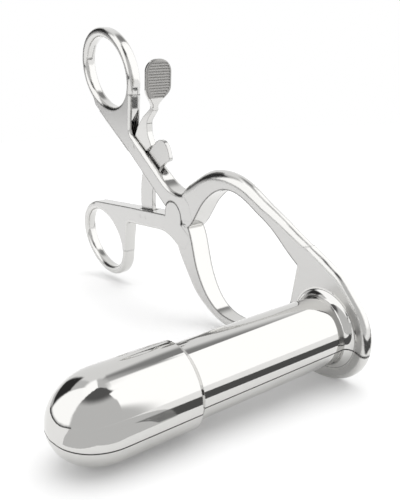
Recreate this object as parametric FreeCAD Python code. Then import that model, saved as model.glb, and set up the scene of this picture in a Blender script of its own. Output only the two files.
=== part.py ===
# A bivalve speculum with finger rings, a ratchet bar and a sprung release lever.
# Two mirror-image levers turn in a lap joint. Each carries half of a tube that is split
# along its axis. Squeezing the rings swings the two halves apart, and the ratchet holds them.
#
# The drawing plane has the pivot at its origin, x towards the tube and z across the mirror
# line. The whole model is then turned so that it stands as it does on a table, with its
# origin on the tube's axis, in the flat rear face of the flange where one looks in.
import FreeCAD
import Part
import math
import os

V = FreeCAD.Vector

# Overall layout
PIVOT_TO_TUBE = 80.0        # pivot axis to tube axis
TABLE_ANGLE = 17.32         # slope of the line from pivot to tube as it stands on a table
JOINT_THICK = 7.3           # thickness of each lever at the joint
RING_THICK = 5.4            # thickness of each lever at its finger ring
FLANGE_THICK = 3.5          # thickness of the flange, where the arm runs into it
SEAM = 0.24                 # gap between the two halves of the tube

# Lap joint
BOSS_R = 5.8                # round boss of each lever
BOSS_GAP = 0.15             # running gap round a boss
LAP_GAP = 0.10              # gap between the two half-thickness laps
SCREW_R = 2.0               # shank of the pivot screw
SCREW_FIT = 0.05            # radial clearance of the shank in the turning lever
SCREW_HEAD_R = 3.3
SCREW_HEAD_H = 1.2
SCREW_BLIND = 0.8           # metal left in front of the screw's tip
DRIVE_W = 0.7               # driver slots of the screws
DRIVE_DEPTH = 0.5

# Handles
HANDLE_ANGLE = 18.5         # each handle's inner edge from the mirror line
HANDLE_TIP_H = 9.0          # height of the handle over its inner edge, beside the ring
EDGE_ROUND = 1.3            # rounding of the handle's outer edges

# Finger rings
RING_U = 62.8               # ring centre behind the pivot
RING_V = 40.0               # ring centre from the mirror line
RING_A = 21.7               # half length of the ring's centre line
RING_B = 15.5               # half width of the ring's centre line
RING_TILT = 6.0             # the ring's far end leans outwards
RING_WIDE = 3.9             # width of the ring's stock
RING_ROUND = 1.6            # rounding of its stock

# Arms and flange
KNEE_U = 31.0               # outermost point of the arm, towards the tube from the pivot
KNEE_V = 28.4               # and from the mirror line
FLANGE_R = 15.2
RIM_ROUND = 1.4
BLEND_ANGLE = 56.0          # where the arm's back runs into the flange's rim

# Tube
NECK_R = 9.8
WALL = 1.2
NOSE_R = 11.2
NOSE_START = 52.7           # where the wider nose begins, from the flange's rear face
TUBE_LENGTH = 85.5
NOSE_ROUND = 13.5           # length of the rounded end
COLLAR_R = 2.4              # hollow fillet between tube and flange
MOUTH_ROUND = 0.5

# Ratchet
BAR_IN_R = 20.8
BAR_OUT_R = 30.4            # tips of the teeth
BAR_THICK = 1.6
BAR_END_ANGLE = 116.0       # end of the bar, measured at the pivot from the tube's direction
TOOTH_PITCH = 1.33
TOOTH_DEPTH = 0.55
TOOTH_FIRST_ANGLE = 128.0
TOOTH_LAST_ANGLE = 191.0
FOOT_DEPTH = 4.6            # tang of the bar in the lower handle
FOOT_BELOW = 1.0            # depth at which the tang thickens to fill its mortise
FOOT_MARGIN = 0.6           # mortise longer than the bar is wide, at each end
RIVET_R = 0.8

# Slot of the upper handle, in which the bar and the release lever move
SLOT_W = 3.0
SLOT_INSIDE = 4.8           # slot's near end, from the bar's inner edge
SLOT_BEHIND = 16.4          # slot's far end, behind the tips of the teeth

# Release lever
LATCH_THICK = 2.5
LATCH_PIN_BEHIND = 6.6      # its pin, behind the tips of the teeth along the handle's inner edge
LATCH_PIN_UP = 5.2          # and above that edge
LATCH_PIN_R = 0.9
LATCH_PIN_FIT = 0.05
NOSE_CLEAR = 0.15           # nose to the tips of the teeth
NOSE_ANGLE = 138.6
PAD_AHEAD = 12.4            # thumb pad, ahead of the pin towards the tube
PAD_BACK = 1.5              # and behind the levers' middle plane
PAD_V = 44.6                # its middle, from the mirror line
PAD_LEAN = 4.0
PAD_W = 11.0
PAD_L = 17.0
PAD_THICK = 2.0
PAD_RIM = 0.9               # plain border round the grooves
GROOVE_PITCH = 1.02
GROOVE_DEPTH = 0.32

# Leaf spring
LEAF_W = 5.0
LEAF_T = 0.8
LEAF_FROM = 41.2            # its free end, along the handle's inner edge
LEAF_TO = 72.0
LEAF_SEAT = 55.0            # from here on it lies on the handle
LEAF_LIFT = 0.35            # free end off the handle
LEAF_SCREW = 64.5
LEAF_SCREW_R = 1.1
LEAF_HEAD_R = 2.2
LEAF_HEAD_H = 1.1
LEAF_SCREW_DEPTH = 4.0

# Worked out from the sizes above
MID = -FLANGE_THICK / 2     # middle plane of both levers
FRONT = MID - JOINT_THICK / 2
BACK = MID + JOINT_THICK / 2
BORE_R = NECK_R - WALL
HALF_SEAM = SEAM / 2
SLOT_NEAR = BAR_IN_R - SLOT_INSIDE
SLOT_FAR = BAR_OUT_R + SLOT_BEHIND
LATCH_PIN_ALONG = BAR_OUT_R + LATCH_PIN_BEHIND
PAD_U = LATCH_PIN_ALONG - PAD_AHEAD
TAN = math.tan(math.radians(HANDLE_ANGLE))
COS = math.cos(math.radians(HANDLE_ANGLE))
SIN = math.sin(math.radians(HANDLE_ANGLE))
FAR = 300.0


def flat(x, z):
    return V(x, 0, z)


def plan(x, y):
    return V(x, y, 0)


def along(s, h):
    # A point s along the upper handle's inner edge and h above that edge.
    return (-s * COS + h * SIN, s * SIN + h * COS)


def polar(radius, degrees):
    return (radius * math.cos(math.radians(degrees)), radius * math.sin(math.radians(degrees)))


def rounded(corners, at=flat):
    # A closed face of straight runs and tangent arcs through corners (x, z, radius).
    count = len(corners)
    runs = []
    for i in range(count):
        here = V(corners[i][0], corners[i][1], 0)
        before = V(corners[i - 1][0], corners[i - 1][1], 0)
        after = V(corners[(i + 1) % count][0], corners[(i + 1) % count][1], 0)
        radius = corners[i][2]
        a = (before - here).normalize()
        b = (after - here).normalize()
        half = a.getAngle(b) / 2
        if radius <= 0 or half > math.pi / 2 - 1e-4:
            runs.append((here, None, here))
            continue
        reach = radius / math.tan(half)
        middle = (a + b).normalize()
        centre = here + middle * (radius / math.sin(half))
        runs.append((here + a * reach, centre - middle * radius, here + b * reach))
    edges = []
    for i in range(count):
        start, through, end = runs[i]
        if through is not None:
            arc = Part.Arc(at(start.x, start.y), at(through.x, through.y), at(end.x, end.y))
            edges.append(arc.toShape())
        after = runs[(i + 1) % count][0]
        if (after - end).Length > 1e-6:
            edges.append(Part.LineSegment(at(end.x, end.y), at(after.x, after.y)).toShape())
    return Part.Face(Part.Wire(edges))


def plate(face, y0, y1):
    # A face of the drawing plane, given thickness from y0 to y1.
    moved = face.copy()
    moved.translate(V(0, y0, 0))
    return moved.extrude(V(0, y1 - y0, 0))


def disc(radius, y0, y1, x=0.0, z=0.0):
    return Part.makeCylinder(radius, y1 - y0, V(x, y0, z), V(0, 1, 0))


def ellipse_face(a, b):
    curve = Part.Ellipse(V(0, 0, 0), a, b)
    face = Part.Face(Part.Wire([curve.toShape()]))
    face.rotate(V(0, 0, 0), V(1, 0, 0), 90)
    face.rotate(V(0, 0, 0), V(0, 1, 0), RING_TILT)
    face.translate(V(-RING_U, 0, RING_V))
    return face


def mirrored(shape):
    return shape.mirror(V(0, 0, 0), V(0, 0, 1))


def half_thick(x):
    # Half the thickness of an arm, which thins from the joint to the flange.
    start = BOSS_R * 2.4
    end = PIVOT_TO_TUBE - FLANGE_R
    share = min(max((x - start) / (end - start), 0.0), 1.0)
    return (JOINT_THICK + (FLANGE_THICK - JOINT_THICK) * share) / 2


def handle_thickness():
    # Side view of a lever, which thins evenly from its joint to its ring.
    ring = RING_THICK / 2
    joint = JOINT_THICK / 2
    far = -RING_U - 2 * RING_A
    thin = -RING_U + RING_A
    thick = -BOSS_R * 1.2
    near = PIVOT_TO_TUBE
    bend = 250
    corners = [(far, MID - ring, 0), (thin, MID - ring, bend), (thick, MID - joint, bend), (near, MID - joint, 0),
               (near, MID + joint, 0), (thick, MID + joint, bend), (thin, MID + ring, bend), (far, MID + ring, 0)]
    side = rounded(corners, plan)
    side.translate(V(0, 0, -FAR / 2))
    return side.extrude(V(0, 0, FAR))


def folded(shape, edge, least=30.0):
    # True where the two faces beside an edge meet at an angle.
    faces = shape.ancestorsOfType(edge, Part.Face)
    if len(faces) < 2:
        return False
    point = edge.valueAt((edge.FirstParameter + edge.LastParameter) / 2)
    normals = []
    for face in faces[:2]:
        u, v = face.Surface.parameter(point)
        normals.append(face.normalAt(u, v))
    return math.degrees(normals[0].getAngle(normals[1])) > least


def finger_ring():
    # An oval ring of stock with rounded corners.
    outer = ellipse_face(RING_A + RING_WIDE / 2, RING_B + RING_WIDE / 2)
    hole = ellipse_face(RING_A - RING_WIDE / 2, RING_B - RING_WIDE / 2)
    y0 = MID - RING_THICK / 2
    y1 = MID + RING_THICK / 2
    ring = plate(outer, y0, y1).cut(plate(hole, y0 - 1, y1 + 1))
    rims = [edge for edge in ring.Edges if abs(edge.CenterOfMass.y - MID) > RING_THICK / 2 - 0.01]
    return ring.makeFillet(RING_ROUND, rims)


def shank():
    # The handle between ring and joint: straight inside, rounded along its outer edges.
    side = -RING_U + RING_A + RING_WIDE / 2 - 0.2
    top = along(-side / COS - HANDLE_TIP_H * TAN, HANDLE_TIP_H)[1]
    reach = (RING_U + RING_A * 0.4) / COS
    corners = [(0, 0, 0), along(reach, 0) + (0,), (-RING_U - RING_A + 3, RING_V - 4, 0), (side, RING_V - 4, 0),
               (side + 0.4, top, 3.0), (-0.6 * BOSS_R, 1.45 * BOSS_R, 3.8 * BOSS_R),
               (0.9 * BOSS_R, 1.93 * BOSS_R, 0), (1.7 * BOSS_R, 1.6 * BOSS_R, 0),
               (2.25 * BOSS_R, 0.62 * BOSS_R, 0), (0.95 * BOSS_R, 0.17 * BOSS_R, 0)]
    body = plate(rounded(corners), MID - JOINT_THICK, MID + JOINT_THICK).common(handle_thickness())
    soft = []
    for edge in body.Edges:
        middle = edge.valueAt((edge.FirstParameter + edge.LastParameter) / 2)
        above = middle.x * SIN + middle.z * COS
        on_face = abs(middle.y - MID) > RING_THICK / 2 - 0.05
        if on_face and side - 1 < middle.x < 0.8 * BOSS_R and above > BOSS_R * 0.75 and folded(body, edge):
            soft.append(edge)
    return body.makeFillet(EDGE_ROUND, soft)


def arm_section(inner, outer):
    # Section of an arm: flat front, rear and inside, and a half-round outside.
    half = half_thick((inner[0] + outer[0]) / 2)
    out = V(outer[0] - inner[0], 0, outer[1] - inner[1]).normalize()
    tip = V(outer[0], MID, outer[1])
    crease = tip - out * half
    root = V(inner[0], MID, inner[1])
    depth = V(0, half, 0)
    corners = [root - depth, crease - depth, crease + depth, root + depth]
    edges = [Part.LineSegment(corners[0], corners[1]).toShape(), Part.Arc(corners[1], tip, corners[2]).toShape(),
             Part.LineSegment(corners[2], corners[3]).toShape(), Part.LineSegment(corners[3], corners[0]).toShape()]
    return Part.Wire(edges)


def arm_line():
    # The arm's half-round back runs straight from its knee to the flange.
    start = V(KNEE_U + 6.3, 0, KNEE_V - 0.4)
    end = V(PIVOT_TO_TUBE - 0.77 * FLANGE_R, 0, 1.355 * FLANGE_R)
    return start, end


def arm():
    # Sections are given as (inner point, outer point), first beside the joint, then about the knee.
    near_joint = [((1.12, 0.10), (0.26, 1.60)), ((2.35, 0.74), (1.38, 2.93))]
    round_knee = [((-13.5, -16.4), (-17.7, -6.8)), ((-10.0, -11.6), (-12.1, -3.0)), ((-5.7, -7.7), (-7.0, -1.2)),
                  ((-0.5, -5.3), (-0.7, -0.1)), ((5.5, -4.9), (6.3, -0.4))]
    down_arm = [(0.24, -1.2, -4.3), (0.48, -1.5, -4.5), (0.73, -2.5, -5.7), (1.0, -3.2, -7.3), (1.3, -5.0, -9.6)]
    wires = []
    for inner, outer in near_joint:
        wires.append(arm_section([BOSS_R * value for value in inner], [BOSS_R * value for value in outer]))
    for inner, outer in round_knee:
        wires.append(arm_section((KNEE_U + inner[0], KNEE_V + inner[1]), (KNEE_U + outer[0], KNEE_V + outer[1])))
    start, end = arm_line()
    for share, dx, dz in down_arm:
        tip = start + (end - start) * share
        wires.append(arm_section((tip.x + dx, tip.z + dz), (tip.x, tip.z)))
    return Part.makeLoft(wires, True, False)


def flange():
    # Upper half of the flange, with the web that joins it to the arm.
    start, end = arm_line()
    run = (end - start).normalize()
    blend = math.radians(BLEND_ANGLE)
    touch = V(PIVOT_TO_TUBE + FLANGE_R * math.cos(blend), 0, FLANGE_R * math.sin(blend))
    tangent = V(-math.sin(blend), 0, math.cos(blend))
    gap = touch - end
    length = (gap.x * tangent.z - gap.z * tangent.x) / (run.x * tangent.z - run.z * tangent.x)
    meet = end + run * length
    left = PIVOT_TO_TUBE - FLANGE_R
    corner = (left, 0.885 * FLANGE_R)
    inside = (left - 6, corner[1] + 2.8)
    corners = [(left, 0, 0), corner + (1.5,), inside + (0,), (end.x, end.z, 0), (meet.x, meet.z, 12.0),
               (touch.x, touch.z, 0), (PIVOT_TO_TUBE, 0, 0)]
    body = plate(rounded(corners), -FLANGE_THICK, 0).fuse(disc(FLANGE_R, -FLANGE_THICK, 0, PIVOT_TO_TUBE))
    body = body.removeSplitter()
    rim = []
    for edge in body.Edges:
        middle = edge.valueAt((edge.FirstParameter + edge.LastParameter) / 2)
        on_face = abs(middle.y - MID) > FLANGE_THICK / 2 - 0.01
        away = math.hypot(middle.x - PIVOT_TO_TUBE, middle.z)
        if on_face and away > FLANGE_R - 0.1 and middle.x > end.x:
            rim.append(edge)
    body = body.makeFillet(RIM_ROUND, rim)
    below = Part.makeBox(FAR, FAR, FAR, V(-FAR / 2, -FAR / 2, HALF_SEAM - FAR))
    return body.cut(below)


def lever_blank():
    # The forging that both levers start from: ring, shank, arm and half flange.
    opening = ellipse_face(RING_A - 0.3, RING_B - 0.3)
    handle = shank().cut(plate(opening, FRONT - 1, BACK + 1)).fuse(finger_ring())
    body = handle.fuse([arm(), flange()])
    bore = disc(NECK_R, -FLANGE_THICK - 2, 2, PIVOT_TO_TUBE)
    return body.cut(bore)


def lapped(blank, boss_in_front):
    # Halves the thickness at the joint: a round boss in one half, a round recess in the other.
    front = (FRONT, MID - LAP_GAP / 2)
    back = (MID + LAP_GAP / 2, BACK)
    if boss_in_front:
        boss, recess = front, (MID - LAP_GAP / 2, BACK + 1)
    else:
        boss, recess = back, (FRONT - 1, MID + LAP_GAP / 2)
    body = blank.cut(disc(BOSS_R + BOSS_GAP, recess[0], recess[1]))
    return body.fuse(disc(BOSS_R, boss[0], boss[1])).removeSplitter()


def block(s0, s1, h0, h1, width):
    # A block set along the handle's inner edge, centred on the levers' middle plane.
    face = rounded([along(s0, h0) + (0,), along(s1, h0) + (0,), along(s1, h1) + (0,), along(s0, h1) + (0,)])
    return plate(face, MID - width / 2, MID + width / 2)


def across(radius, s, h0, h1):
    # A round rod square to the handle's inner edge.
    base = along(s, h0)
    return Part.makeCylinder(radius, h1 - h0, V(base[0], MID, base[1]), V(SIN, 0, COS))


def handle_slot():
    # Open from top to bottom, with a milled round end beside the joint.
    radius = SLOT_W / 2
    low = -1.0
    high = HANDLE_TIP_H * 3
    return block(SLOT_NEAR + radius, SLOT_FAR, low, high, SLOT_W).fuse(across(radius, SLOT_NEAR + radius, low, high))


def handle_half(x):
    # Half the handle's thickness at a place behind the pivot.
    thin = RING_U - RING_A
    thick = BOSS_R * 1.2
    share = min(max((-x - thick) / (thin - thick), 0.0), 1.0)
    return (JOINT_THICK + (RING_THICK - JOINT_THICK) * share) / 2


def pivot_screw():
    # Passes through the upper lever's boss and screws into the lower lever's boss.
    shank_rod = disc(SCREW_R, FRONT + SCREW_BLIND, BACK - SCREW_HEAD_H)
    head = disc(SCREW_HEAD_R, BACK - SCREW_HEAD_H, BACK)
    slot = Part.makeBox(DRIVE_W, DRIVE_DEPTH + 1, SCREW_HEAD_R * 3,
                        V(-DRIVE_W / 2, BACK - DRIVE_DEPTH, -SCREW_HEAD_R * 1.5))
    return shank_rod.fuse(head).cut(slot).removeSplitter()


def latch_pin_place():
    return along(LATCH_PIN_ALONG, LATCH_PIN_UP)


def leaf_screw_rod(extra=0.0):
    return across(LEAF_SCREW_R, LEAF_SCREW, -LEAF_T - extra, LEAF_SCREW_DEPTH)


def upper_lever(blank):
    body = lapped(blank, False)
    body = body.cut(handle_slot())
    body = body.cut(disc(SCREW_R + SCREW_FIT, MID, BACK + 1))
    body = body.cut(disc(SCREW_HEAD_R + BOSS_GAP, BACK - SCREW_HEAD_H - SCREW_FIT, BACK + 1))
    x, z = latch_pin_place()
    half = handle_half(x)
    body = body.cut(disc(LATCH_PIN_R, MID - half - 1, MID + half + 1, x, z))
    return body.cut(leaf_screw_rod())


def mortise(low):
    # The blind slot in the lower handle, and the tang that fills it, from a height above the edge.
    return block(BAR_IN_R - FOOT_MARGIN, BAR_OUT_R + FOOT_MARGIN, low, FOOT_DEPTH, SLOT_W)


def rivet_places():
    middle = (BAR_IN_R + BAR_OUT_R) / 2
    step = (BAR_OUT_R - BAR_IN_R) / 4
    height = (FOOT_BELOW + FOOT_DEPTH) / 2
    return [along(middle - step, height), along(middle + step, height)]


def rivet_rods():
    rods = []
    for x, z in rivet_places():
        half = handle_half(x) - 0.1
        rods.append(disc(RIVET_R, MID - half, MID + half, x, z))
    return rods


def lower_lever(blank):
    body = mirrored(lapped(blank, True))
    body = body.cut(disc(SCREW_R, FRONT + SCREW_BLIND, MID + 1))
    body = body.cut(mirrored(mortise(-1.0)))
    holes = [disc(RIVET_R, FRONT - 1, BACK + 1, x, -z) for x, z in rivet_places()]
    return body.cut(holes)


def blade():
    # Upper half of the tube: neck, wider nose with a rounded end, and a hollow fillet at the flange.
    x0 = PIVOT_TO_TUBE
    cheek = TUBE_LENGTH - NOSE_ROUND
    step = NOSE_R - NECK_R
    inner_nose = NOSE_R - WALL

    def at(radius, depth):
        return V(x0 + radius, -depth, 0)

    def line(a, b):
        return Part.LineSegment(at(a[0], a[1]), at(b[0], b[1])).toShape()

    def nose_curve(radius, length):
        # Quarter of an ellipse from the nose's cheek to its tip.
        points = []
        for i in range(9):
            t = math.pi / 2 * i / 8
            points.append(at(radius * math.cos(t), cheek + length * math.sin(t)))
        curve = Part.BSplineCurve()
        curve.interpolate(points, InitialTangent=V(0, -1, 0), FinalTangent=V(-1, 0, 0))
        return curve.toShape()

    s = math.sqrt(0.5)
    collar = Part.Arc(at(NECK_R + COLLAR_R, FLANGE_THICK),
                      at(NECK_R + COLLAR_R * (1 - s), FLANGE_THICK + COLLAR_R * (1 - s)),
                      at(NECK_R, FLANGE_THICK + COLLAR_R)).toShape()
    inner_length = NOSE_ROUND - WALL
    edges = [line((BORE_R + MOUTH_ROUND, 0), (NECK_R, 0)), line((NECK_R, 0), (NECK_R, FLANGE_THICK)),
             line((NECK_R, FLANGE_THICK), (NECK_R + COLLAR_R, FLANGE_THICK)), collar,
             line((NECK_R, FLANGE_THICK + COLLAR_R), (NECK_R, NOSE_START - step)),
             line((NECK_R, NOSE_START - step), (NOSE_R, NOSE_START)), line((NOSE_R, NOSE_START), (NOSE_R, cheek)),
             nose_curve(NOSE_R, NOSE_ROUND), line((0, TUBE_LENGTH), (0, TUBE_LENGTH - WALL)),
             nose_curve(inner_nose, inner_length), line((inner_nose, cheek), (inner_nose, NOSE_START + WALL)),
             line((inner_nose, NOSE_START + WALL), (BORE_R, NOSE_START + WALL - step)),
             line((BORE_R, NOSE_START + WALL - step), (BORE_R, MOUTH_ROUND)),
             line((BORE_R, MOUTH_ROUND), (BORE_R + MOUTH_ROUND, 0))]
    face = Part.Face(Part.Wire(Part.__sortEdges__(edges)))
    body = face.revolve(V(x0, 0, 0), V(0, 1, 0), 360)
    below = Part.makeBox(FAR, FAR, FAR, V(-FAR / 2, -FAR / 2, HALF_SEAM - FAR))
    return body.cut(below)


def ratchet_bar():
    # An arc about the pivot with saw teeth on its outer edge, on a thicker tang.
    y0 = MID - BAR_THICK / 2
    y1 = MID + BAR_THICK / 2
    entry = 180 + HANDLE_ANGLE
    deep = entry + math.degrees(math.asin((FOOT_BELOW + 0.8) / BAR_IN_R))
    a0 = math.radians(BAR_END_ANGLE)
    a1 = math.radians(deep)
    middle = (a0 + a1) / 2

    def spot(radius, angle):
        return V(radius * math.cos(angle), 0, radius * math.sin(angle))

    outer = Part.Arc(spot(BAR_OUT_R, a0), spot(BAR_OUT_R, middle), spot(BAR_OUT_R, a1)).toShape()
    inner = Part.Arc(spot(BAR_IN_R, a1), spot(BAR_IN_R, middle), spot(BAR_IN_R, a0)).toShape()
    root = Part.LineSegment(spot(BAR_OUT_R, a1), spot(BAR_IN_R, a1)).toShape()
    tip = Part.LineSegment(spot(BAR_IN_R, a0), spot(BAR_OUT_R, a0)).toShape()
    bar = plate(Part.Face(Part.Wire([outer, root, inner, tip])), y0, y1)
    width = BAR_OUT_R - BAR_IN_R
    for radius, share in ((BAR_OUT_R, 0.6), (BAR_IN_R, 0.15)):
        corner = spot(radius, a0)
        ends = [edge for edge in bar.Edges if (edge.CenterOfMass - V(corner.x, MID, corner.z)).Length < 0.01]
        bar = bar.makeFillet(width * share, ends)
    step = math.degrees(TOOTH_PITCH / BAR_OUT_R)
    count = int((TOOTH_LAST_ANGLE - TOOTH_FIRST_ANGLE) / step)
    gaps = []
    for i in range(count):
        angle = TOOTH_FIRST_ANGLE + i * step
        points = [polar(BAR_OUT_R + 0.3, angle), polar(BAR_OUT_R - TOOTH_DEPTH, angle + 0.18 * step),
                  polar(BAR_OUT_R + 0.3, angle + 1.25 * step)]
        gaps.append(plate(rounded([point + (0,) for point in points]), y0 - 1, y1 + 1))
    bar = bar.cut(gaps)
    body = bar.fuse(mirrored(mortise(FOOT_BELOW))).removeSplitter()
    holes = [disc(RIVET_R, FRONT - 1, BACK + 1, x, -z) for x, z in rivet_places()]
    return body.cut(holes)


def thumb_pad():
    # A teardrop blade set square to the levers, with cross grooves inside a plain border.
    half_w = PAD_W / 2
    top = PAD_L * 0.5
    neck = LATCH_THICK / 2
    y0 = MID + PAD_BACK
    corners = [(MID - neck, -top - 2, 0), (MID - neck, -top, 4.0), (y0 - half_w, -top * 0.45, half_w * 0.8),
               (y0 - half_w, top, half_w * 0.86), (y0 + half_w, top, half_w * 0.86),
               (y0 + half_w, -top * 0.38, half_w * 0.8), (MID + neck, -top, 4.0), (MID + neck, -top - 2, 0)]

    def upright(y, z):
        return V(0, y, z)

    face = rounded(corners, upright)
    face.translate(V(-PAD_THICK / 2, 0, 0))
    pad = face.extrude(V(PAD_THICK, 0, 0))
    rims = []
    for edge in pad.Edges:
        if abs(abs(edge.CenterOfMass.x) - PAD_THICK / 2) < 0.01 and edge.CenterOfMass.z > -top - 1.9:
            rims.append(edge)
    pad = pad.makeFillet(PAD_THICK * 0.3, rims)
    grooves = []
    count = int((PAD_L * 0.8) / GROOVE_PITCH)
    for i in range(count):
        z = top - PAD_RIM - (i + 0.7) * GROOVE_PITCH
        if z < -top * 0.72:
            break
        width = half_w - PAD_RIM
        crown = top - half_w * 0.86
        if z > crown:
            width = math.sqrt(max((half_w * 0.86) ** 2 - (z - crown) ** 2, 0.5)) + half_w * 0.14 - PAD_RIM
        if z < -top * 0.2:
            fall = (-top * 0.2 - z) / (top * 0.73)
            width = width + (neck - half_w) * fall
        wedge = [(0, z - GROOVE_PITCH * 0.38), (0, z + GROOVE_PITCH * 0.38)]
        deep = V(PAD_THICK / 2 - GROOVE_DEPTH, 0, z)
        outside = PAD_THICK / 2 + 0.2
        spread = GROOVE_PITCH * 0.38 * (GROOVE_DEPTH + 0.2) / GROOVE_DEPTH
        points = [deep, V(outside, 0, wedge[0][1] + GROOVE_PITCH * 0.38 - spread),
                  V(outside, 0, wedge[1][1] - GROOVE_PITCH * 0.38 + spread), deep]
        section = Part.Face(Part.makePolygon(points))
        section.translate(V(0, y0 - width, 0))
        grooves.append(section.extrude(V(0, 2 * width, 0)))
    pad = pad.cut(grooves)
    pad.rotate(V(0, 0, 0), V(0, 1, 0), -PAD_LEAN)
    pad.translate(V(-PAD_U, 0, PAD_V))
    return pad


def latch_lever():
    # Hooked plate in the slot, with a nose for the teeth, a heel for the spring and a stem to the pad.
    nose = polar(BAR_OUT_R + NOSE_CLEAR, NOSE_ANGLE)
    lean = math.radians(PAD_LEAN)
    foot_x = -PAD_U + math.sin(lean) * PAD_L * 0.56
    foot_z = PAD_V - math.cos(lean) * PAD_L * 0.56
    s = LATCH_PIN_ALONG
    h = LATCH_PIN_UP
    places = [(s - 6.2, h + 2.3, 1.5), (s - 5.4, h - 2.2, 1.0), (s - 1.0, h - 4.4, 1.5), (s + 5.3, -0.25, 0.5),
              (s + 6.6, h - 4.0, 0.7), (s + 4.0, h + 0.3, 2.0), (s + 3.3, h + 7.3, 2.5), (s + 1.2, h + 13.4, 1.2)]
    corners = [nose + (0.12,)]
    for along_edge, above, radius in places:
        corners.append(along(along_edge, above) + (radius,))
    corners.append((foot_x - PAD_THICK / 2, foot_z - 0.6, 0))
    corners.append((foot_x - PAD_THICK / 2 + 0.1, foot_z + 0.5, 0))
    corners.append((foot_x + PAD_THICK / 2 - 0.1, foot_z + 0.5, 0))
    corners.append((foot_x + PAD_THICK / 2, foot_z - 0.6, 0))
    corners.append(along(s - 2.0, h + 13.7) + (3.0,))
    corners.append(along(s - 4.2, h + 9.4) + (4.0,))
    hook = plate(rounded(corners), MID - LATCH_THICK / 2, MID + LATCH_THICK / 2)
    x, z = latch_pin_place()
    body = hook.fuse(thumb_pad()).removeSplitter()
    return body.cut(disc(LATCH_PIN_R + LATCH_PIN_FIT, FRONT - 1, BACK + 1, x, z))


def latch_pin():
    x, z = latch_pin_place()
    half = handle_half(x) - 0.15
    return disc(LATCH_PIN_R, MID - half, MID + half, x, z)


def leaf_spring():
    # Lies on the handle's inner edge and bends off it towards the release lever's heel.
    corners = [along(LEAF_TO, 0) + (0,), along(LEAF_SEAT, 0) + (150,), along(LEAF_FROM, -LEAF_LIFT) + (0,),
               along(LEAF_FROM, -LEAF_LIFT - LEAF_T * 0.7) + (0,), along(LEAF_SEAT, -LEAF_T) + (150,),
               along(LEAF_TO, -LEAF_T) + (0,)]
    strip = plate(rounded(corners), MID - LEAF_W / 2, MID + LEAF_W / 2)
    ends = []
    for edge in strip.Edges:
        middle = edge.CenterOfMass
        at_side = abs(abs(middle.y - MID) - LEAF_W / 2) < 0.01
        s = -middle.x * COS + middle.z * SIN
        if at_side and edge.Length < LEAF_T * 1.2 and (s > LEAF_TO - 0.5 or s < LEAF_FROM + 0.5):
            ends.append(edge)
    strip = strip.makeFillet(1.2, ends)
    return strip.cut(leaf_screw_rod(1.0))


def leaf_screw():
    head = across(LEAF_HEAD_R, LEAF_SCREW, -LEAF_T - LEAF_HEAD_H, -LEAF_T)
    low = along(LEAF_SCREW, -LEAF_T - LEAF_HEAD_H)
    rim = [edge for edge in head.Edges if (edge.CenterOfMass - V(low[0], MID, low[1])).Length < 0.01]
    head = head.makeFillet(LEAF_HEAD_H * 0.6, rim)
    slot = block(LEAF_SCREW - DRIVE_W / 2, LEAF_SCREW + DRIVE_W / 2, -LEAF_T - LEAF_HEAD_H - 1,
                 -LEAF_T - LEAF_HEAD_H + DRIVE_DEPTH, LEAF_HEAD_R * 3)
    return leaf_screw_rod().fuse(head).cut(slot).removeSplitter()


def as_it_stands(shape):
    # From the drawing plane to the frame of the finished part.
    placed = shape.copy()
    placed.translate(V(-PIVOT_TO_TUBE, 0, 0))
    placed.rotate(V(0, 0, 0), V(0, 1, 0), TABLE_ANGLE)
    return placed


def main():
    blank = lever_blank()
    half_tube = blade()
    pieces = {
        "upper_lever": upper_lever(blank),
        "lower_lever": lower_lever(blank),
        "upper_blade": half_tube,
        "lower_blade": mirrored(half_tube),
        "pivot_screw": pivot_screw(),
        "ratchet_bar": ratchet_bar(),
        "ratchet_rivets": mirrored(Part.makeCompound(rivet_rods())),
        "latch_lever": latch_lever(),
        "latch_pin": latch_pin(),
        "leaf_spring": leaf_spring(),
        "leaf_screw": leaf_screw(),
    }
    os.makedirs("parts", exist_ok=True)
    for name, shape in pieces.items():
        as_it_stands(shape).exportStep("parts/" + name + ".step")
        print(name, len(shape.Solids), "solid", round(shape.Volume), "mm3")


main()
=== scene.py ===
# %% [markdown]
# A bivalve speculum in polished stainless steel lies on a white table. Its solids come from the
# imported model, which is loaded first. Everything here is about how it looks: the steels, the
# light that they mirror, the table and the camera.

# %% Load the instrument
import bmesh
import bpy
import math
from mathutils import Matrix, Vector


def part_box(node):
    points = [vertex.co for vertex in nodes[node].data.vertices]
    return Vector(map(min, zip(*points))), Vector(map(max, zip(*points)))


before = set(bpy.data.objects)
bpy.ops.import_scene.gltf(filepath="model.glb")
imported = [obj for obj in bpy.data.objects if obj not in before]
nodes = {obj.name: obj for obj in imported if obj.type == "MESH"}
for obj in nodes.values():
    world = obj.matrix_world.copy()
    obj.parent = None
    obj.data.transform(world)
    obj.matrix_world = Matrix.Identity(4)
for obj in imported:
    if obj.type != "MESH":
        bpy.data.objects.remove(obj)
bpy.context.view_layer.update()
print("pieces:", sorted(nodes))

# %% [markdown]
# Polished metal has hardly any colour of its own: it shows what stands around it. A metal's
# base colour is how much it sends back, so one number per finish is enough, and stainless steel
# is very slightly warm. The line beside an edge is painted darker: painted shade, for the dark
# that a rounded edge mirrors.

# %% Base colours of the steels
STEEL = (0.66, 0.655, 0.64, 1.0)
SATIN_STEEL = (0.60, 0.595, 0.585, 1.0)
# painted shade: the dark colour of the line painted beside every edge
PAINTED_EDGE_SHADE = (0.09, 0.088, 0.085, 1.0)
print("steel sends back", STEEL[:3])

# %% [markdown]
# Several steels need the same effects, and each effect becomes a node group, built once and
# placed in every steel that shows it, with values of its own. Two small helpers keep that short:
# one makes an empty group with its sockets, the other adds a Math node with numbers or links.

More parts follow.
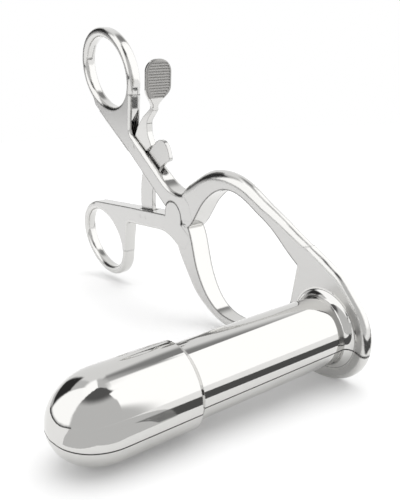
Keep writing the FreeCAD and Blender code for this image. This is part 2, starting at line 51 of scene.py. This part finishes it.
# %% Helpers for node groups
def new_group(name, inputs, outputs):
    group = bpy.data.node_groups.new(name, "ShaderNodeTree")
    for label, kind, value in inputs:
        socket = group.interface.new_socket(label, in_out="INPUT", socket_type=kind)
        socket.default_value = value
    for label, kind in outputs:
        group.interface.new_socket(label, in_out="OUTPUT", socket_type=kind)
    return group, group.nodes.new("NodeGroupInput"), group.nodes.new("NodeGroupOutput")


def math_node(tree, operation, first, second=None):
    node = tree.nodes.new("ShaderNodeMath")
    node.operation = operation
    for socket, value in zip(node.inputs, (first, second)):
        if value is None:
            continue
        if isinstance(value, (int, float)):
            socket.default_value = value
        else:
            tree.links.new(value, socket)
    return node.outputs[0]


print("groups so far:", len(bpy.data.node_groups))

# %% [markdown]
# The first group finds the flat cheeks of a forging, which are ground to a satin, while its
# rounded edges are polished. The cheeks face along Y, so the size of the normal's Y part is the
# mask. The normal comes from the object's own coordinates, so the mask turns with a lever when
# it swings.

# %% Group: flat cheeks
CHEEK_STARTS = 0.97
CHEEK_FULL = 0.995


def make_cheeks():
    group, start, end = new_group("flat_cheeks", [], [("Mask", "NodeSocketFloat")])
    place = group.nodes.new("ShaderNodeTexCoord")
    parts = group.nodes.new("ShaderNodeSeparateXYZ")
    group.links.new(place.outputs["Normal"], parts.inputs[0])
    facing = math_node(group, "ABSOLUTE", parts.outputs["Y"])
    ramp = group.nodes.new("ShaderNodeMapRange")
    ramp.inputs["From Min"].default_value = CHEEK_STARTS
    ramp.inputs["From Max"].default_value = CHEEK_FULL
    group.links.new(facing, ramp.inputs["Value"])
    group.links.new(ramp.outputs["Result"], end.inputs["Mask"])
    return group


CHEEKS = make_cheeks()
print("group:", CHEEKS.name)

# %% [markdown]
# The second group is the ripple that hand polishing leaves in a mirror surface. It is far too
# shallow to model. A slow noise, stretched along the direction of polishing, feeds a Bump node in
# each steel. Across and Along are how many waves of it lie on a metre.

# %% Group: polishing ripple
RIPPLE_ACROSS = 60.0
RIPPLE_ALONG = 15.0
RIPPLE_DETAIL = 1.5
RIPPLE_DEPTH = 0.00002


def make_ripple():
    inputs = [("Across", "NodeSocketFloat", RIPPLE_ACROSS), ("Along", "NodeSocketFloat", RIPPLE_ALONG)]
    group, start, end = new_group("polishing_ripple", inputs, [("Height", "NodeSocketFloat")])
    place = group.nodes.new("ShaderNodeTexCoord")
    stretch = group.nodes.new("ShaderNodeCombineXYZ")
    group.links.new(start.outputs["Across"], stretch.inputs["X"])
    group.links.new(start.outputs["Along"], stretch.inputs["Y"])
    group.links.new(start.outputs["Across"], stretch.inputs["Z"])
    scale = group.nodes.new("ShaderNodeVectorMath")
    scale.operation = "MULTIPLY"
    group.links.new(place.outputs["Object"], scale.inputs[0])
    group.links.new(stretch.outputs[0], scale.inputs[1])
    noise = group.nodes.new("ShaderNodeTexNoise")
    noise.inputs["Scale"].default_value = 1.0
    noise.inputs["Detail"].default_value = RIPPLE_DETAIL
    group.links.new(scale.outputs[0], noise.inputs["Vector"])
    group.links.new(noise.outputs["Fac"], end.inputs["Height"])
    return group


RIPPLE = make_ripple()
print("group:", RIPPLE.name)

# %% [markdown]
# Some edges of the solids don't show on the real instrument. The cross pins were ground flush
# with the cheeks and polished over, so nothing shows around their ends, and the rim of the fillet
# between tube and flange is blended into the flange. Both are found by how far a point lies from
# an axis along Y, of a pin or of the tube, and the sizes are measured on the pieces.

# %% Where edges are polished away
pin_low, pin_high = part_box("latch_pin")
rivet_low, rivet_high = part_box("ratchet_rivets")
rivet_radius = (rivet_high[2] - rivet_low[2]) / 2
FLUSH_PINS = [
    ((pin_low[0] + pin_high[0]) / 2, (pin_low[2] + pin_high[2]) / 2),
    (rivet_low[0] + rivet_radius, (rivet_low[2] + rivet_high[2]) / 2),
    (rivet_high[0] - rivet_radius, (rivet_low[2] + rivet_high[2]) / 2),
]
PIN_SURROUND = 0.0021
blade_low, blade_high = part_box("upper_blade")
RIM_BLEND = 0.0005
FILLET_RIM = blade_high[0] - RIM_BLEND
print("flush pins at", [(round(x, 4), round(z, 4)) for x, z in FLUSH_PINS])
print("fillet from", round(blade_low[0], 4), "to", round(blade_high[0], 4))

# %% [markdown]
# The mask for that is worked out for each point of a surface. Its place is laid flat onto the
# plane across the axes, and the length of what is left, or its distance to a pin, is compared with
# a radius. Each test answers 0 or 1, and the product keeps the points that pass them all.

# %% Which edges show
def vector_node(group, operation, first, second=None):
    node = group.nodes.new("ShaderNodeVectorMath")
    node.operation = operation
    group.links.new(first, node.inputs[0])
    if second is not None:
        node.inputs[1].default_value = second
    return node


def edges_kept(group, blend_beyond):
    # 1 where the edges show, 0 near the axis of a flush pin and past the fillet's rim
    place = group.nodes.new("ShaderNodeTexCoord")
    flat = vector_node(group, "MULTIPLY", place.outputs["Object"], (1.0, 0.0, 1.0)).outputs["Vector"]
    reach = vector_node(group, "LENGTH", flat).outputs["Value"]
    kept = math_node(group, "LESS_THAN", reach, blend_beyond)
    for x, z in FLUSH_PINS:
        gap = vector_node(group, "DISTANCE", flat, (x, 0.0, z)).outputs["Value"]
        outside = math_node(group, "GREATER_THAN", gap, PIN_SURROUND)
        kept = math_node(group, "MULTIPLY", kept, outside)
    return kept


print("edges are hidden round", len(FLUSH_PINS), "pins and past", round(FILLET_RIM, 4), "m")

# %% [markdown]
# No real edge is razor sharp: polishing takes it off by a few tenths of a millimetre, and that
# fine round draws a line along every edge. The third group holds a Bevel node, which rounds the
# normals there and leaves the mesh alone. Where its normal turns away from the true one, the
# point lies on an edge, and that gives a mask for a thin dark line painted beside the edge: painted
# shade, for the dark that a rounded edge mirrors. Radius is the size of the round. Near a flush pin,
# and further from the tube's axis than Blend Beyond, the group leaves the surface as it is.

# %% Group: fine edge
LEVER_EDGE = 0.0010
SMALL_EDGE = 0.0003
NO_BLEND = 1.0
BEVEL_SAMPLES = 6
LINE_STARTS = 0.98
LINE_FULL = 0.88


def make_fine_edge():
    inputs = [("Radius", "NodeSocketFloat", SMALL_EDGE), ("Blend Beyond", "NodeSocketFloat", NO_BLEND)]
    outputs = [("Normal", "NodeSocketVector"), ("Line", "NodeSocketFloat")]
    group, start, end = new_group("fine_edge", inputs, outputs)
    edge = group.nodes.new("ShaderNodeBevel")
    edge.samples = BEVEL_SAMPLES
    group.links.new(start.outputs["Radius"], edge.inputs["Radius"])
    plain = group.nodes.new("ShaderNodeNewGeometry")
    turned = vector_node(group, "DOT_PRODUCT", edge.outputs["Normal"])
    group.links.new(plain.outputs["True Normal"], turned.inputs[1])
    line = group.nodes.new("ShaderNodeMapRange")
    line.inputs["From Min"].default_value = LINE_STARTS
    line.inputs["From Max"].default_value = LINE_FULL
    group.links.new(turned.outputs["Value"], line.inputs["Value"])
    kept = edges_kept(group, start.outputs["Blend Beyond"])
    normal = group.nodes.new("ShaderNodeMix")
    normal.data_type = "VECTOR"
    group.links.new(kept, normal.inputs["Factor"])
    group.links.new(plain.outputs["Normal"], normal.inputs["A"])
    group.links.new(edge.outputs["Normal"], normal.inputs["B"])
    group.links.new(normal.outputs["Result"], end.inputs["Normal"])
    group.links.new(math_node(group, "MULTIPLY", line.outputs["Result"], kept), end.inputs["Line"])
    return group


FINE_EDGE = make_fine_edge()
print("group:", FINE_EDGE.name)

# %% [markdown]
# A steel places the groups and mixes by their masks. Colours and numbers are mixed by different
# nodes, so there is a helper for each: a Mix node takes two colours, and a Map Range node turns a
# mask from 0 to 1 into a number between two others.

# %% Helpers for materials
def put_group(tree, group, values):
    node = tree.nodes.new("ShaderNodeGroup")
    node.node_tree = group
    for label, value in values.items():
        node.inputs[label].default_value = value
    return node


def mix_colours(tree, mask, first, second):
    blend = tree.nodes.new("ShaderNodeMix")
    blend.data_type = "RGBA"
    tree.links.new(mask, blend.inputs["Factor"])
    for label, value in (("A", first), ("B", second)):
        if isinstance(value, tuple):
            blend.inputs[label].default_value = value
        else:
            tree.links.new(value, blend.inputs[label])
    return blend.outputs["Result"]


def mix_numbers(tree, mask, first, second):
    ramp = tree.nodes.new("ShaderNodeMapRange")
    ramp.inputs["To Min"].default_value = first
    ramp.inputs["To Max"].default_value = second
    tree.links.new(mask, ramp.inputs["Value"])
    return ramp.outputs["Result"]


print("groups to place:", [group.name for group in (CHEEKS, RIPPLE, FINE_EDGE)])

# %% [markdown]
# One function makes every steel: a Principled shader with Metallic at 1, a roughness, and a bump
# from the ripple on top of the rounded edges. Where a steel has satin cheeks, the cheek mask mixes
# two colours and two roughnesses, and the painted shade beside an edge darkens the colour last.
# The values of the fine edge come with the steel, and a steel without them keeps its edges sharp.

# %% Make a steel
def steel(name, colour, polish, satin=None, edge=None, across=RIPPLE_ACROSS, along=RIPPLE_ALONG):
    material = bpy.data.materials.new(name)
    material.use_nodes = True
    tree = material.node_tree
    shader = tree.nodes["Principled BSDF"]
    shader.inputs["Metallic"].default_value = 1.0
    shader.inputs["Base Color"].default_value = colour
    shader.inputs["Roughness"].default_value = polish
    ripple = put_group(tree, RIPPLE, {"Across": across, "Along": along})
    bump = tree.nodes.new("ShaderNodeBump")
    bump.inputs["Strength"].default_value = 1.0
    bump.inputs["Distance"].default_value = RIPPLE_DEPTH
    tree.links.new(ripple.outputs["Height"], bump.inputs["Height"])
    tree.links.new(bump.outputs["Normal"], shader.inputs["Normal"])
    paint = colour
    if satin is not None:
        cheeks = put_group(tree, CHEEKS, {})
        rough = mix_numbers(tree, cheeks.outputs["Mask"], polish, satin)
        tree.links.new(rough, shader.inputs["Roughness"])
        paint = mix_colours(tree, cheeks.outputs["Mask"], colour, SATIN_STEEL)
    if edge is not None:
        border = put_group(tree, FINE_EDGE, edge)
        tree.links.new(border.outputs["Normal"], bump.inputs["Normal"])
        # painted shade: a dark line beside each edge is mixed into the base colour
        paint = mix_colours(tree, border.outputs["Line"], paint, PAINTED_EDGE_SHADE)
    if paint is not colour:
        tree.links.new(paint, shader.inputs["Base Color"])
    print("made", name)
    return material


# %% [markdown]
# The finishes of this instrument: the levers are polished with satin cheeks, the tube is a
# mirror, the ratchet bar is ground, and the pins were ground flush with the cheeks. A lower
# roughness is a better polish. The levers have the widest rounds, because they are forgings.

# %% The steels
STEELS = {
    "lever": steel("lever_steel", STEEL, 0.10, satin=0.28, edge={"Radius": LEVER_EDGE}),
    "blade": steel("blade_steel", STEEL, 0.05, across=90.0, along=12.0,
                   edge={"Radius": SMALL_EDGE, "Blend Beyond": FILLET_RIM}),
    "ratchet": steel("ratchet_steel", SATIN_STEEL, 0.12, satin=0.25, edge={"Radius": SMALL_EDGE}),
    "latch": steel("latch_steel", STEEL, 0.12, edge={"Radius": SMALL_EDGE}),
    "spring": steel("spring_steel", SATIN_STEEL, 0.16, edge={"Radius": SMALL_EDGE}),
    "pin": steel("pin_steel", STEEL, 0.14, satin=0.28),
}
print("steels:", list(STEELS))

# %% [markdown]
# The thumb pad is cut crosswise with a graver, so it stays duller and darker than the polished
# stem. The pad is the top of the release lever, on the side that faces the thumb, so a mask from
# the height and one from the normal find it.

# %% Cut thumb pad
release_low, release_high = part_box("latch_lever")
PAD_HEIGHT = 0.0142
PAD_FACING = 0.2
PAD_TONE = (0.34, 0.335, 0.325, 1.0)
PAD_ROUGHNESS = 0.34


def pad_cut(material):
    tree = material.node_tree
    shader = tree.nodes["Principled BSDF"]
    place = tree.nodes.new("ShaderNodeTexCoord")
    spot = tree.nodes.new("ShaderNodeSeparateXYZ")
    tree.links.new(place.outputs["Object"], spot.inputs[0])
    facing = tree.nodes.new("ShaderNodeSeparateXYZ")
    tree.links.new(place.outputs["Normal"], facing.inputs[0])
    above = math_node(tree, "GREATER_THAN", spot.outputs["Z"], release_high[2] - PAD_HEIGHT)
    front = math_node(tree, "GREATER_THAN", facing.outputs["X"], PAD_FACING)
    mask = math_node(tree, "MULTIPLY", above, front)
    polished = shader.inputs["Base Color"].links[0].from_socket
    tree.links.new(mix_colours(tree, mask, polished, PAD_TONE), shader.inputs["Base Color"])
    rough = mix_numbers(tree, mask, shader.inputs["Roughness"].default_value, PAD_ROUGHNESS)
    tree.links.new(rough, shader.inputs["Roughness"])


pad_cut(STEELS["latch"])
print("release lever from", round(release_low[2], 4), "to", round(release_high[2], 4))

# %% [markdown]
# Each node takes the steel of the piece that it is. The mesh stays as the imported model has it,
# so the finish goes on its object's material slots.

# %% Dress the pieces
FINISH = {
    "upper_lever": "lever",
    "lower_lever": "lever",
    "upper_blade": "blade",
    "lower_blade": "blade",
    "pivot_screw": "pin",
    "ratchet_bar": "ratchet",
    "ratchet_rivets": "pin",
    "latch_lever": "latch",
    "latch_pin": "pin",
    "leaf_spring": "spring",
    "leaf_screw": "pin",
}
for node_name, finish in FINISH.items():
    piece = nodes[node_name]
    for slot in piece.material_slots:
        slot.link = "OBJECT"
        slot.material = STEELS[finish]
    print(node_name, "wears", finish)

# %% [markdown]
# The table is a wide white sheet. The instrument stands on three points: the lower finger ring,
# the flange's lower rim and the nose of the tube. They aren't at one height in the instrument's
# own frame, so the sheet is tilted a little to touch them all.

# %% Where the instrument touches the table
ring_low, ring_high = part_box("lower_lever")
nose_low, nose_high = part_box("lower_blade")
SKIN = 0.0001
RING_ALONG = 0.150
LEVER_MIDDLE = 0.00175
FLANGE_MIDDLE = 0.0034
FLANGE_RADIUS = 0.0152
NOSE_RADIUS = 0.0112
NOSE_CHEEK = 0.0720
touch_ring = Vector((-RING_ALONG, -LEVER_MIDDLE, ring_low[2]))
touch_flange = Vector((0.0, -FLANGE_MIDDLE, -FLANGE_RADIUS))
touch_nose = Vector((0.0, -NOSE_CHEEK, -NOSE_RADIUS))
up = (touch_ring - touch_flange).cross(touch_nose - touch_flange).normalized()
up = up if up.z > 0 else -up
print("lower lever", round(ring_high[2] - ring_low[2], 4), "high")
print("lower blade", round(nose_high[1] - nose_low[1], 4), "long")
print("table leans", round(math.degrees(math.acos(up.z)), 2), "degrees")

# %% [markdown]
# A shadow on white paper only shows if the paper isn't already overexposed. So the sheet is a
# plain diffuse white that the room and the lamp bring just up to white, and it adds a very little
# light of its own where the camera or a mirror sees it. A Light Path node tells such rays from
# those that only carry light from one surface to the next.

# %% White table
TABLE_SIZE = 8.0
TABLE_WHITE = 0.80
TABLE_ROUGHNESS = 0.9
TABLE_GLOW = 0.10


def seen_directly(tree):
    # 1 for the camera, for mirrors and through glass, and 0 for light that bounces about
    path = tree.nodes.new("ShaderNodeLightPath")
    both = math_node(tree, "MAXIMUM", path.outputs["Is Camera Ray"], path.outputs["Is Glossy Ray"])
    return math_node(tree, "MAXIMUM", both, path.outputs["Is Transmission Ray"])


def table_material():
    material = bpy.data.materials.new("white_table")
    material.use_nodes = True
    tree = material.node_tree
    shader = tree.nodes["Principled BSDF"]
    shader.inputs["Base Color"].default_value = (TABLE_WHITE, TABLE_WHITE, TABLE_WHITE, 1.0)
    shader.inputs["Roughness"].default_value = TABLE_ROUGHNESS
    shader.inputs["Specular IOR Level"].default_value = 0.0
    shader.inputs["Emission Color"].default_value = (1.0, 1.0, 1.0, 1.0)
    share = math_node(tree, "MULTIPLY", seen_directly(tree), TABLE_GLOW)
    tree.links.new(share, shader.inputs["Emission Strength"])
    return material


def make_table():
    bpy.ops.mesh.primitive_plane_add(size=TABLE_SIZE)
    sheet = bpy.context.object
    sheet.name = "table"
    turn = Vector((0, 0, 1)).rotation_difference(up).to_matrix().to_4x4()
    sheet.matrix_world = Matrix.Translation(touch_flange - up * SKIN) @ turn
    sheet.data.materials.append(table_material())
    return sheet


make_table()
print("table under", tuple(round(value, 4) for value in touch_flange))

# %% [markdown]
# Behind the table everything is white. The room gives soft light from all sides, at a little less
# than full strength, and where the camera or a mirror looks straight at it, it is pure white.
# Light from everywhere is what makes the soft dark border close beside the tube: there the
# instrument hides most of the room from the table.

# %% The white room
ROOM_FILL = 0.85


def make_room():
    world = bpy.data.worlds.new("white_room")
    bpy.context.scene.world = world
    world.use_nodes = True
    tree = world.node_tree
    ground = tree.nodes["Background"]
    ground.inputs["Color"].default_value = (1.0, 1.0, 1.0, 1.0)
    strength = math_node(tree, "MULTIPLY_ADD", seen_directly(tree), 1.0 - ROOM_FILL)
    strength.node.inputs[2].default_value = ROOM_FILL
    tree.links.new(strength, ground.inputs["Strength"])


make_room()
print("room fill:", ROOM_FILL)

# %% [markdown]
# Polished steel shows what stands around it, and in a room that is white all over it would look
# like paper. A photographer puts it in a tent: white boxes where the metal should shine, grey
# cloth where it should be grey and a black card where it should have an edge. The tent here is a
# sphere that only mirrors see. Each panel is an area of one tone, given by the direction of its
# middle, its half width, and its lower and upper edge, all in degrees, with a soft border. A
# panel lower in the list hangs in front of those above it.

# %% The tent's panels
TENT_GREY = 0.68
PANELS = [
    ("back_wall", dict(middle=150, half=38, low=-90, high=68, soft=4, tone=0.95)),
    ("ceiling_gap", dict(middle=-17, half=65, low=58, high=100, soft=9, tone=0.12)),
    ("rear_shade", dict(middle=124, half=16, low=48, high=70, soft=7, tone=0.30)),
    ("rear_box", dict(middle=67, half=46, low=-20, high=64, soft=1.5, tone=1.53)),
    ("rear_box_top", dict(middle=72, half=30, low=56, high=76, soft=7, tone=1.53)),
    ("front_box", dict(middle=-110, half=33, low=9, high=90, soft=3, tone=1.45)),
    ("ceiling_box", dict(middle=-140, half=55, low=68, high=100, soft=4, tone=1.5)),
    ("black_card", dict(middle=-162, half=16, low=8, high=44, soft=3, tone=0.035)),
    ("table_edge", dict(middle=-112, half=40, low=-20, high=6, soft=1.5, tone=0.06)),
]
print("panels:", [name for name, panel in PANELS])

# %% [markdown]
# A panel's mask is worked out from the direction of each point of the tent as seen from its
# middle: the cosine of the angle to the panel's middle line gives left and right, and the sine of
# the elevation gives the lower and the upper edge. An edge past the zenith or the nadir gets a
# height that no point reaches, so it never cuts the panel.

# %% Masks of the panels
def sine(degrees):
    return degrees / 90.0 if abs(degrees) > 90 else math.sin(math.radians(degrees))


def step_mask(tree, value, start, end):
    ramp = tree.nodes.new("ShaderNodeMapRange")
    ramp.interpolation_type = "SMOOTHSTEP"
    tree.links.new(value, ramp.inputs["Value"])
    ramp.inputs["From Min"].default_value = start
    ramp.inputs["From Max"].default_value = end
    return ramp.outputs["Result"]


def panel_mask(tree, level, height, middle, half, low, high, soft):
    # level is the direction laid flat, with length 1; height is the sine of the elevation
    line = (math.cos(math.radians(middle)), math.sin(math.radians(middle)), 0.0)
    across = vector_node(tree, "DOT_PRODUCT", level, line).outputs["Value"]
    near = math.cos(math.radians(half - soft))
    far = math.cos(math.radians(half + soft))
    sides = step_mask(tree, across, far, near)
    foot = step_mask(tree, height, sine(low - soft), sine(low + soft))
    head = step_mask(tree, height, sine(high + soft), sine(high - soft))
    return math_node(tree, "MULTIPLY", math_node(tree, "MULTIPLY", sides, foot), head)


print("sine of 45 and 100 degrees:", round(sine(45), 3), round(sine(100), 3))

# %% [markdown]
# The tent's cloth is pure light, so the steel shows each panel at its own tone, times what the
# steel sends back. Each panel's mask lays its tone over what the panels before it have left.

# %% Paint the tent's cloth
def tent_material():
    material = bpy.data.materials.new("tent_cloth")
    material.use_nodes = True
    tree = material.node_tree
    tree.nodes.clear()
    place = tree.nodes.new("ShaderNodeTexCoord")
    unit = vector_node(tree, "NORMALIZE", place.outputs["Object"])
    parts = tree.nodes.new("ShaderNodeSeparateXYZ")
    tree.links.new(unit.outputs["Vector"], parts.inputs[0])
    flat = tree.nodes.new("ShaderNodeCombineXYZ")
    tree.links.new(parts.outputs["X"], flat.inputs["X"])
    tree.links.new(parts.outputs["Y"], flat.inputs["Y"])
    level = vector_node(tree, "NORMALIZE", flat.outputs["Vector"])
    tone = None
    for name, panel in PANELS:
        shape = {key: value for key, value in panel.items() if key != "tone"}
        mask = panel_mask(tree, level.outputs["Vector"], parts.outputs["Z"], **shape)
        blend = tree.nodes.new("ShaderNodeMix")
        blend.inputs["A"].default_value = TENT_GREY
        blend.inputs["B"].default_value = panel["tone"]
        tree.links.new(mask, blend.inputs["Factor"])
        if tone is not None:
            tree.links.new(tone, blend.inputs["A"])
        tone = blend.outputs["Result"]
    glow = tree.nodes.new("ShaderNodeEmission")
    tree.links.new(tone, glow.inputs["Strength"])
    out = tree.nodes.new("ShaderNodeOutputMaterial")
    tree.links.new(glow.outputs["Emission"], out.inputs["Surface"])
    return material


TENT_CLOTH = tent_material()
print("cloth:", TENT_CLOTH.name)

# %% [markdown]
# The camera, the table and the shadows know nothing of the tent, so its panels could be moved
# until the reflections were right without a change in the light on the table.

# %% Hang the tent
TENT_RADIUS = 3.0
TENT_SEGMENTS = 64
TENT_RINGS = 32


def only_for_mirrors(thing):
    thing.visible_camera = False
    thing.visible_diffuse = False
    thing.visible_shadow = False


def make_tent():
    bpy.ops.mesh.primitive_uv_sphere_add(segments=TENT_SEGMENTS, ring_count=TENT_RINGS, radius=TENT_RADIUS)
    tent = bpy.context.object
    tent.name = "tent"
    tent.data.materials.append(TENT_CLOTH)
    only_for_mirrors(tent)
    return tent


make_tent()
print("tent radius", TENT_RADIUS)

# %% [markdown]
# Two cards lie on the table for the mirrors alone. A black strip beside the tube draws the dark
# band under its broad highlight. The grey sheet in front of the nose is painted shade: it stands in
# for the less lit table on that side, so that side doesn't shine like the open table. The corners
# are places on the table in metres. The table leans, so the height of each corner is worked out
# from its lean.

# %% Where the cards lie
CARD_LIFT = 0.0004
BLACK_STRIP = [(0.0255, -0.057), (0.058, -0.052), (0.052, 0.100), (-0.200, 0.100), (-0.200, 0.075),
               (0.0255, 0.075)]
# painted shade: outline of the grey sheet that stands in for the less lit table before the nose
SHADED_TABLE_PATCH = [(0.003, -0.098), (0.020, -0.084), (0.024, -0.052), (2.000, 0.640), (2.000, -2.000),
              (0.520, -2.000)]


def on_table(x, y):
    # a point of the table's sheet, a little above it
    foot = touch_flange - up * SKIN
    drop = ((x - foot.x) * up.x + (y - foot.y) * up.y) / up.z
    return Vector((x, y, foot.z - drop + CARD_LIFT))


print("strip's first corner", tuple(round(value, 4) for value in on_table(*BLACK_STRIP[0])))

# %% [markdown]
# A card is one face. Like the tent's cloth it has light of its own and sends nothing else back,
# so its tone in the steel doesn't depend on the shadow in which it lies.

# %% Lay the cards
STRIP_TONE = 0.10


def card(name, outline, tone):
    shape = bmesh.new()
    shape.faces.new([shape.verts.new(on_table(x, y)) for x, y in outline])
    bmesh.ops.recalc_face_normals(shape, faces=shape.faces[:])
    mesh = bpy.data.meshes.new(name)
    shape.to_mesh(mesh)
    shape.free()
    sheet = bpy.data.objects.new(name, mesh)
    bpy.context.collection.objects.link(sheet)
    material = bpy.data.materials.new(name)
    material.use_nodes = True
    shader = material.node_tree.nodes["Principled BSDF"]
    shader.inputs["Base Color"].default_value = (0.0, 0.0, 0.0, 1.0)
    shader.inputs["Specular IOR Level"].default_value = 0.0
    shader.inputs["Emission Color"].default_value = (tone, tone, tone, 1.0)
    shader.inputs["Emission Strength"].default_value = 1.0
    mesh.materials.append(material)
    only_for_mirrors(sheet)


card("black_strip", BLACK_STRIP, STRIP_TONE)
# painted shade: a grey sheet, seen only by mirrors, in place of the less lit table
card("painted_table_shade", SHADED_TABLE_PATCH, TENT_GREY)
print("cards lie", CARD_LIFT, "m above the table")

# %% [markdown]
# The rest of the light comes from above and a little from the camera's right, through cloth: a
# sun lamp with a very wide angle. It lights the whole table alike, and its shadows are as soft as
# those of a big soft box. Mirrors don't see it, because the tent's boxes shine there instead.

# %% Soft light from above
def soft_sun(name, azimuth, elevation, angle, strength):
    data = bpy.data.lights.new(name, "SUN")
    data.energy = strength
    data.angle = math.radians(angle)
    lamp = bpy.data.objects.new(name, data)
    bpy.context.collection.objects.link(lamp)
    level = math.cos(math.radians(elevation))
    source = Vector((level * math.cos(math.radians(azimuth)), level * math.sin(math.radians(azimuth)),
                     math.sin(math.radians(elevation))))
    lamp.rotation_euler = source.to_track_quat("Z", "Y").to_euler()
    lamp.visible_glossy = False
    return lamp


sun = soft_sun("soft_light", azimuth=60.0, elevation=78.0, angle=60.0, strength=1.45)
print("lamp:", sun.name)

# %% [markdown]
# The camera stands close, a little above the instrument and to its right, and is turned slightly
# about its own line of sight. Its place and axes are those found by fitting known points of the
# instrument to the picture. It looks along the negative of its third axis, which follows from the
# other two.

# %% Camera
CAMERA_PLACE = Vector((0.11171, -0.11391, 0.06621))
CAMERA_RIGHT = Vector((0.55266, 0.82921, -0.08360))
CAMERA_UP = Vector((-0.16575, 0.20766, 0.96406))
CAMERA_LENS = 41.54
CAMERA_SENSOR = 36.0
CAMERA_NEAR = 0.005
CAMERA_FAR = 20.0


def make_camera():
    data = bpy.data.cameras.new("camera")
    data.lens = CAMERA_LENS
    data.sensor_width = CAMERA_SENSOR
    data.clip_start = CAMERA_NEAR
    data.clip_end = CAMERA_FAR
    camera = bpy.data.objects.new("camera", data)
    bpy.context.collection.objects.link(camera)
    back = CAMERA_RIGHT.cross(CAMERA_UP).normalized()
    right = CAMERA_UP.cross(back).normalized()
    over = back.cross(right)
    turn = Matrix((right, over, back)).transposed().to_4x4()
    camera.matrix_world = Matrix.Translation(CAMERA_PLACE) @ turn
    bpy.context.scene.camera = camera


make_camera()
bpy.context.scene.view_settings.view_transform = "Standard"
print("camera at", tuple(CAMERA_PLACE))
